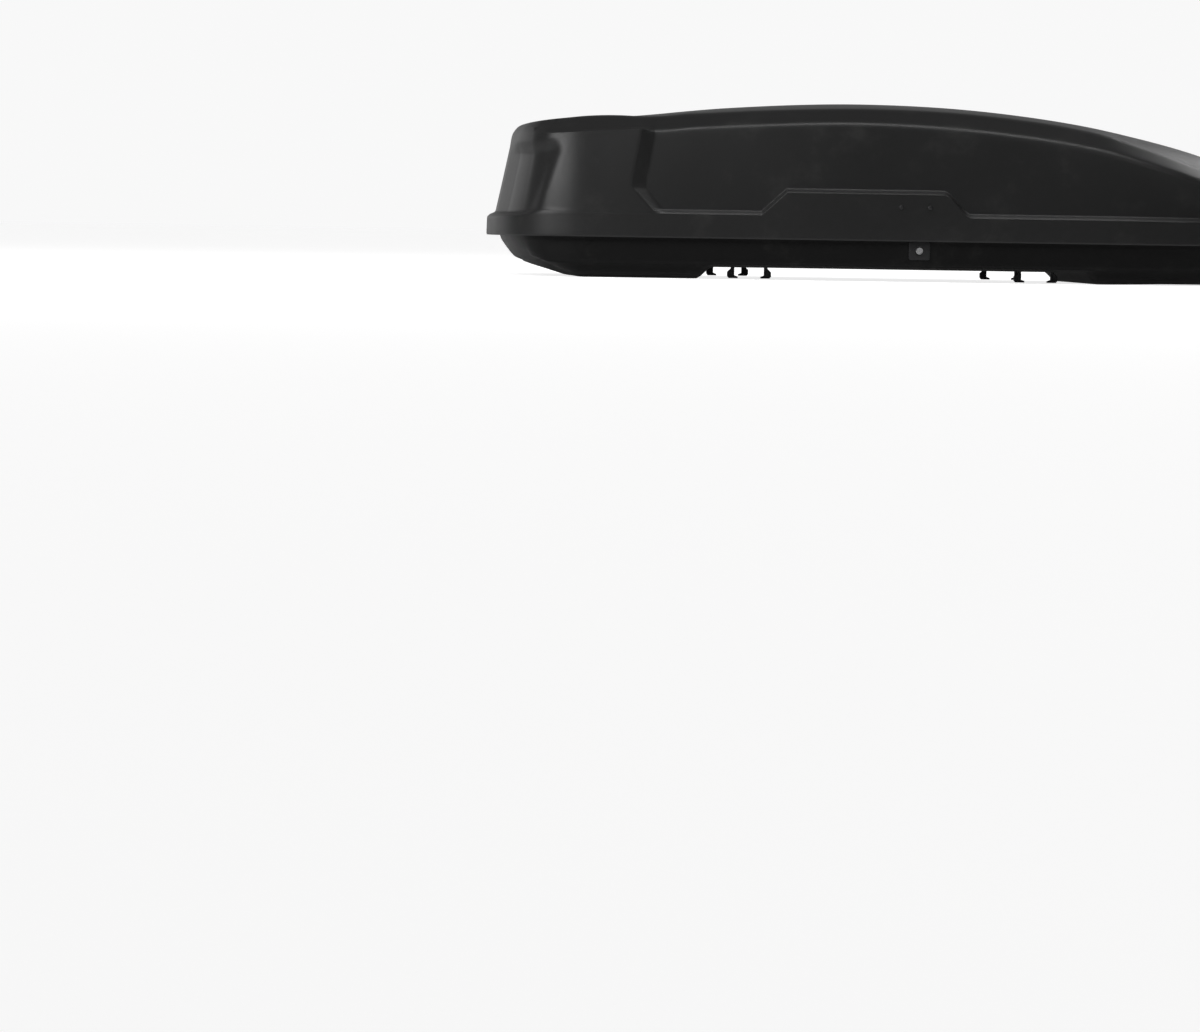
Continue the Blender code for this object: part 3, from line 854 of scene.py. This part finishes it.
SLOT_REACH, SLOT_HALF_WIDTH = 0.0925, 0.011
PAD_REACH, PAD_HALF_WIDTH = 0.035, 0.20
tools = []
for bar in ("rear", "front"):
    carriage = middle_of(f"clamp_carriage_{bar}_left")
    low = (carriage.x - PAD_REACH, -PAD_HALF_WIDTH, 0.0275)
    high = (carriage.x + PAD_REACH, PAD_HALF_WIDTH, 0.0310)
    tools.append(("UNION", softened(block("pad", low, high), 0.0008, 2)))
    for y in (-carriage.y, carriage.y):
        low = (carriage.x - SLOT_REACH, y - SLOT_HALF_WIDTH, 0.0)
        high = (carriage.x + SLOT_REACH, y + SLOT_HALF_WIDTH, 0.045)
        tools.append(("DIFFERENCE", upright_slot("slot", low, high)))
for side in ("right", "left"):
    plate = middle_of(f"lock_escutcheon_{side}")
    tools.append(("DIFFERENCE", rod("lock_hole", "y", plate, 0.0095, 0.04, 32)))
combine(tray, tools)
finish_piece(tray, tray_plastic, "base", "base_tray")
print("tray cut,", len(tray.data.polygons), "faces")

# %% [markdown]
# ## Shapes for the fittings
#
# The fittings are pressed, moulded or turned. A prism with softened edges stands for a pressing, and a
# profile spun round an axis for a turned piece. Each shape is drawn once, on the left side, and copied.


# %% Fitting shapes
def prism(name, axis, outline, low, high):
    """A solid with this outline, given in the other two axes, between two places on the axis."""
    spread = {"x": lambda a, b, s: (s, a, b), "y": lambda a, b, s: (a, s, b)}[axis]
    count = len(outline)
    points = [spread(a, b, s) for s in (low, high) for a, b in outline]
    faces = [tuple(range(count)), tuple(range(2 * count - 1, count - 1, -1))]
    faces += [(i, count + i, count + (i + 1) % count, (i + 1) % count) for i in range(count)]
    return closed(name, points, faces)


def closed(name, points, faces):
    """A mesh object whose faces all point out."""
    mesh = bpy.data.meshes.new(name)
    mesh.from_pydata(points, [], faces)
    work = bmesh.new()
    work.from_mesh(mesh)
    bmesh.ops.recalc_face_normals(work, faces=work.faces)
    work.to_mesh(mesh)
    work.free()
    made = bpy.data.objects.new(name, mesh)
    bpy.context.collection.objects.link(made)
    return made


def turned(name, axis, centre, profile, segments=48, lobe=lambda angle: 1.0):
    """A profile of (place along the axis, radius) spun round it; a lobe function varies the radius."""
    count = len(profile)
    points = []
    for i in range(segments):
        angle = math.tau * i / segments
        reach = lobe(angle)
        for place, radius in profile:
            a, b = radius * reach * math.cos(angle), radius * reach * math.sin(angle)
            offset = {"x": (place, a, b), "y": (b, place, a), "z": (a, b, place)}[axis]
            points.append(Vector(centre) + Vector(offset))
    faces = [tuple(i * count + k for i in range(segments)) for k in (0, count - 1)]
    for i in range(segments):
        j = (i + 1) % segments
        rings = [(i * count + k, j * count + k) for k in range(count - 1)]
        faces += [(a, b, b + 1, a + 1) for a, b in rings]
    return closed(name, points, faces)


def round_arc(centre, radius, start, end, steps):
    """Points along an arc, from one angle to another in degrees."""
    angles = [math.radians(start + (end - start) * i / steps) for i in range(steps + 1)]
    return [(centre[0] + radius * math.cos(a), centre[1] + radius * math.sin(a)) for a in angles]


bodies = frame["record"]["behaviour"]["bodies"]
body_of = {name: body for body, names in bodies.items() for name in names}
finish_of = {name: FINISH_OF[slot] for name, slot in slot_of.items()}


def copy_to(shape, node, shift=(0, 0, 0), mirror=()):
    """A copy of the shape, moved, and mirrored in x or y for the other end or side."""
    mesh = shape.data.copy()
    for axis in mirror:
        mesh.transform(Matrix.Scale(-1, 4, Vector((axis == "x", axis == "y", 0))))
        mesh.flip_normals()
    mesh.transform(Matrix.Translation(shift))
    made = bpy.data.objects.new(f"fine_{node}", mesh)
    bpy.context.collection.objects.link(made)
    finish_piece(made, finish_of[node], body_of[node], node, 35)
    return made


def discard(*shapes):
    for shape in shapes:
        bpy.data.objects.remove(shape, do_unlink=True)


SIDES = (("right", ("y",)), ("left", ()))
print("shape helpers ready for", len(body_of), "nodes")

# %% [markdown]
# ## Clamp knobs, carriages and claws
#
# Inside, each clamp has a six-lobed knob big enough for a gloved hand. Its carriage slides along the slot
# to suit the bar. Outside, two thick claws are moulded in nylon, so they do not scratch the bar. The knob
# is a profile spun with a radius that swells six times in a turn, and the claw is a softened prism.

# %% Clamps
knob_low, knob_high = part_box("clamp_knob_rear_left")
GRIP_DEPTH = 0.019
grip_z = knob_high[2] - GRIP_DEPTH
grip = turned("grip", "z", (0, 0, grip_z), (
    (0.0, 0.0235), (0.0012, 0.0262), (0.0035, 0.0270), (0.0145, 0.0270), (0.0168, 0.0262), (0.0183, 0.0245),
    (GRIP_DEPTH, 0.0215), (0.0186, 0.0160), (0.0172, 0.0120), (0.0170, 0.0060),
), 96, lambda angle: 1.0 + 0.092 * math.cos(6 * angle))
collar_profile = ((-0.0027, 0.0095), (-0.0022, 0.0100), (0.0020, 0.0100))
collar = turned("collar", "z", (0, 0, grip_z), collar_profile, 48)
spindle_profile = ((0.0, 0.0040), (0.0012, 0.0051), (0.0160, 0.0051))
spindle = turned("spindle", "z", (0, 0, knob_low[2]), spindle_profile, 32)
combine(grip, [("UNION", collar), ("UNION", spindle)])

JAW_Z, JAW_REACH, JAW_HALF_WIDTH = 0.0485, 0.040, 0.008
claw = softened(prism("claw", "y", (
    (0.005, JAW_Z + 0.004), (0.005, 0.026), (0.014, 0.0175), (0.014, 0.0065), (0.010, 0.002),
    (-0.0115, 0.002), (-0.0115, 0.0060), (-0.003, 0.0090), (-0.003, JAW_Z - 0.004), (-0.004, JAW_Z + 0.004),
), -JAW_HALF_WIDTH, JAW_HALF_WIDTH), 0.0011)
pin_profile = ((-0.015, 0.0026), (-0.0144, 0.0032), (0.0144, 0.0032), (0.015, 0.0026))
combine(claw, [("UNION", turned("pin", "y", (0, 0, JAW_Z), pin_profile, 32))])
for bar in ("rear", "front"):
    for side, _ in SIDES:
        x, y, _ = middle_of(f"clamp_carriage_{bar}_{side}")
        copy_to(grip, f"clamp_knob_{bar}_{side}", (x, y, 0))
        copy_to(claw, f"clamp_jaw_{bar}_{side}_fore", (x + JAW_REACH, y, 0))
        copy_to(claw, f"clamp_jaw_{bar}_{side}_aft", (x - JAW_REACH, y, 0), ("x",))
discard(grip, claw)
print("4 knobs and 8 claws")

# %% [markdown]
# ## Hinge stations
#
# A bolt slides through a bracket's two bosses and through the lid's eye between them. On the side that stays
# shut, a nylon cradle turns round the bosses under the eye and keeps the lid on its hinge. Brackets and eyes
# are zinc-plated pressings. Booleans join plates, bosses and bores, as a press shop welds and drills them.

# %% Hinges
HINGE = (0.385, 0.100)
HALF_WIDTH = 0.430
WALL_Y = HALF_WIDTH - TRAY_INSET - SHEET - 0.0008
SKIRT_Y = HALF_WIDTH - 0.004 - SHEET - 0.0006


def pressed(name, low, high):
    """A block with the slightly rounded edges of a steel pressing."""
    return softened(block(name, low, high), 0.0006, 2)


def bracket_shape():
    made = pressed("bracket", (-0.0175, WALL_Y - 0.003, 0.078), (0.0175, WALL_Y, 0.1015))
    tools = []
    for end in (-1, 1):
        face = end * 0.016
        low = (face - 0.0015, HINGE[0] - 0.009, HINGE[1] - 0.012)
        high = (face + 0.0015, WALL_Y - 0.001, 0.1055)
        tools.append(("UNION", pressed("cheek", low, high)))
        tools.append(("UNION", rod("boss", "x", (end * 0.0135, *HINGE), 0.0052, 0.006, 40)))
    tools.append(("DIFFERENCE", rod("bore", "x", (0, *HINGE), 0.0034, 0.06, 40)))
    return combine(made, tools)


def cradle_shape():
    trough = round_arc(HINGE, 0.0098, 200, 340, 28) + round_arc(HINGE, 0.0082, 340, 200, 28)
    made = prism("cradle", "x", trough, -0.0134, 0.0134)
    ends = [(x, *HINGE) for x in (-0.0122, 0.0122)]
    tools = [("UNION", rod("ring", "x", end, 0.0092, 0.0024, 56)) for end in ends]
    tools += [("DIFFERENCE", rod("bore", "x", end, 0.0058, 0.006, 40)) for end in ends]
    return combine(made, tools)


def eye_shape(low_z, high_z, start, end, rivets=()):
    """A lid eye on an arm that joins its plate; the plate runs from start to end along x."""
    outline = round_arc(HINGE, 0.0072, 115, 425, 44) + [
        (HINGE[0] + 0.003, low_z - 0.004), (SKIRT_Y, low_z), (SKIRT_Y, low_z + 0.006),
        (HINGE[0] - 0.003, low_z + 0.002),
    ]
    made = prism("eye", "x", outline, -0.009, 0.009)
    plate = pressed("plate", (start, SKIRT_Y - 0.0025, low_z), (end, SKIRT_Y, high_z))
    tools = [("UNION", plate), ("DIFFERENCE", rod("bore", "x", (0, *HINGE), 0.0035, 0.03, 40))]
    tools += [("DIFFERENCE", rod("hole", "y", (x, SKIRT_Y, z), 0.0028, 0.02, 24)) for x, z in rivets]
    return combine(made, tools)


stations = {name: middle_of(f"hinge_bracket_left_{name}").x for name in ("rear", "middle", "front")}
rivet_at = [middle_of(f"rivet_left_{i}") for i in (1, 2)]
bracket, cradle = bracket_shape(), cradle_shape()
short_eye = eye_shape(0.135, 0.147, -0.022, 0.022)
holes = [(at.x - stations["middle"], at.z) for at in rivet_at]
long_eye = eye_shape(0.138, 0.192, holes[0][0] - 0.012, holes[1][0] + 0.012, holes)
for name, x in stations.items():
    eye = long_eye if name == "middle" else short_eye
    for side, mirror in SIDES:
        copy_to(bracket, f"hinge_bracket_{side}_{name}", (x, 0, 0), mirror)
        copy_to(cradle, f"hinge_cradle_{side}_{name}", (x, 0, 0), mirror)
        copy_to(eye, f"lid_eye_{side}_{name}", (x, 0, 0), mirror)
discard(bracket, cradle, short_eye, long_eye)
print("18 hinge pieces")

# %% [markdown]
# ## Locks and rivets
#
# The key barrel is a chromed die casting in a dark plate. Its crank moves the bar that carries the three
# bolts, so one quarter turn locks or frees the whole side. Two flat-headed rivets hold the middle eye. The
# round parts are spun from profiles, so that their lips and chamfers catch a thin line of light.

# %% Locks and rivets
LOCK_X, LOCK_Z = 0.0, 0.0765
PLATE_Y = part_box("lock_escutcheon_left")[0][1]
PLUG_BACK_Y, PLUG_FRONT_Y = 0.375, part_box("lock_barrel_left")[1][1]
RIVET_INNER_Y, RIVET_OUTER_Y = (corner[1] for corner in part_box("rivet_left_1"))


def rounded_box_outline(half_x, half_z, radius, steps):
    """A rectangle with round corners, centred on the lock."""
    outline = []
    for sx, sz, start in ((1, 1, 0), (-1, 1, 90), (-1, -1, 180), (1, -1, 270)):
        centre = (LOCK_X + sx * (half_x - radius), LOCK_Z + sz * (half_z - radius))
        outline += round_arc(centre, radius, start, start + 90, steps)
    return outline


plate_outline = rounded_box_outline(0.026, 0.0225, 0.006, 8)
escutcheon = softened(prism("plate", "y", plate_outline, PLATE_Y, PLATE_Y + 0.003), 0.0009)
bezel = turned("bezel", "y", (LOCK_X, PLATE_Y, LOCK_Z), (
    (0.0, 0.0135), (0.0040, 0.0135), (0.0050, 0.0126), (0.0050, 0.0112), (0.0041, 0.0098),
), 56)
screw_profile = ((0.0, 0.0030), (0.0034, 0.0030), (0.0040, 0.0022))
screws = [
    turned("screw", "y", (LOCK_X + x, PLATE_Y, LOCK_Z), screw_profile, 32) for x in (-0.0195, 0.0195)
]
tools = [("UNION", piece) for piece in (bezel, *screws)]
tools.append(("DIFFERENCE", rod("bore", "y", (LOCK_X, PLATE_Y, LOCK_Z), 0.0089, 0.03, 48)))
combine(escutcheon, tools)

plug_length = PLUG_FRONT_Y - PLUG_BACK_Y
barrel = turned("plug", "y", (LOCK_X, PLUG_BACK_Y, LOCK_Z), (
    (0.0, 0.0080), (0.0005, 0.0085), (plug_length - 0.0008, 0.0085), (plug_length, 0.0078),
    (plug_length, 0.0066), (plug_length - 0.0007, 0.0062),
), 56)
arm = prism("arm", "y", (
    (0.0045, LOCK_Z), (0.0, LOCK_Z + 0.0045), (-0.0135, LOCK_Z - 0.0095), (-0.0095, LOCK_Z - 0.0135),
), 0.3725, 0.3757)
pin = rod("pin", "y", (-0.0110, 0.3712, LOCK_Z - 0.0110), 0.0013, 0.006, 24)
keyway = block("keyway", (-0.0008, 0.404, LOCK_Z - 0.0048), (0.0008, 0.42, LOCK_Z + 0.0048))
combine(barrel, [("UNION", arm), ("UNION", pin), ("DIFFERENCE", keyway)])

BAR_BACK_Y, BAR_FRONT_Y = 0.3702 - 0.00125, 0.3702 + 0.00125
UPRIGHT_START, UPRIGHT_END = -0.062, -0.056
bar_low = (stations["rear"] + UPRIGHT_START, BAR_BACK_Y, 0.072)
bar = block("bar", bar_low, (stations["front"] + UPRIGHT_END, BAR_FRONT_Y, 0.086))
bolt_profile = ((0.0, 0.003), (0.0410, 0.003), (0.0425, 0.0023), (0.0430, 0.0012))
tools = []
for x in stations.values():
    low = (x + UPRIGHT_START, BAR_BACK_Y, 0.084)
    high = (x + UPRIGHT_END, HINGE[0] + 0.004, HINGE[1] + 0.004)
    tools.append(("UNION", block("upright", low, high)))
    tools.append(("UNION", turned("bolt", "x", (x - 0.058, *HINGE), bolt_profile, 32)))
for start in (-0.0156, -0.0088):
    low, high = (start, BAR_BACK_Y, 0.056), (start + 0.0024, BAR_FRONT_Y, 0.073)
    tools.append(("UNION", block("finger", low, high)))
combine(bar, tools)

rivet = turned("rivet", "y", (0, 0, 0), (
    (RIVET_INNER_Y, 0.0022), (RIVET_INNER_Y + 0.0004, 0.0024), (RIVET_OUTER_Y - 0.0016, 0.0024),
    (RIVET_OUTER_Y - 0.0016, 0.0054), (RIVET_OUTER_Y - 0.0010, 0.0055), (RIVET_OUTER_Y - 0.0003, 0.0046),
    (RIVET_OUTER_Y, 0.0030),
), 40)
for side, mirror in SIDES:
    copy_to(escutcheon, f"lock_escutcheon_{side}", (0, 0, 0), mirror)
    copy_to(barrel, f"lock_barrel_{side}", (0, 0, 0), mirror)
    copy_to(bar, f"lock_bar_{side}", (0, 0, 0), mirror)
    for number, at in enumerate(rivet_at, 1):
        copy_to(rivet, f"rivet_{side}_{number}", (at.x, 0, at.z), mirror)
discard(escutcheon, barrel, bar, rivet)
print("locks and rivets made")

# %% [markdown]
# ## Ribs, rails and carriages
#
# These pressings keep the outline that they have in the working model. Their edges are broken by a small
# bevel, as a folded or moulded edge always is.


# %% Edged pressings
def edged(node, width):
    """A fine copy of a frame node with its edges softly rounded."""
    source = frame["nodes"][node]
    mesh = source.data.copy()
    mesh.transform(source.matrix_world)
    work = bmesh.new()
    work.from_mesh(mesh)
    bmesh.ops.dissolve_limit(work, angle_limit=math.radians(1), verts=work.verts, edges=work.edges)
    work.to_mesh(mesh)
    work.free()
    made = bpy.data.objects.new(f"fine_{node}", mesh)
    bpy.context.collection.objects.link(made)
    softened(made, width, 2)
    finish_piece(made, finish_of[node], body_of[node], node, 35)


EDGE_WIDTHS = {"lid_rib": 0.0008, "floor_rail": 0.0006, "clamp_carriage": 0.0005}
pressings = [
    (name, width) for kind, width in EDGE_WIDTHS.items() for name in slot_of if name.startswith(kind)
]
for name, width in pressings:
    edged(name, width)
print(len(pressings), "edged pressings")

# %% [markdown]
# ## The floor
#
# A plain pale floor lies under the tray's two deep ends, wide enough that its edge is lost in the light. It
# glows a little for the camera, and less for the plastic, so that the underside stays dark.


# %% Floor
def studio_floor():
    graph = new_finish("pale_floor")
    paper = graph.noise(3.0, detail=3)
    camera_ray = graph.node("ShaderNodeLightPath")
    graph.set(
        base_color=graph.mix(paper, rgb(0.80, 0.80, 0.80), rgb(0.83, 0.83, 0.83)), roughness=0.8,
        emission_color=graph.mix(camera_ray, rgb(0.1, 0.1, 0.1), rgb(1, 1, 1)), emission_strength=0.80,
    )
    mesh = bpy.data.meshes.new("studio_floor")
    corners = [(60.0 * x, 60.0 * y, 0) for x, y in ((-1, -1), (1, -1), (1, 1), (-1, 1))]
    mesh.from_pydata(corners, [], [(0, 1, 2, 3)])
    mesh.materials.append(graph.owner)
    made = bpy.data.objects.new("studio_floor", mesh)
    made.location.z = cad_box[0][2] - 0.0005
    bpy.context.collection.objects.link(made)


studio_floor()
print("floor laid under the tray")
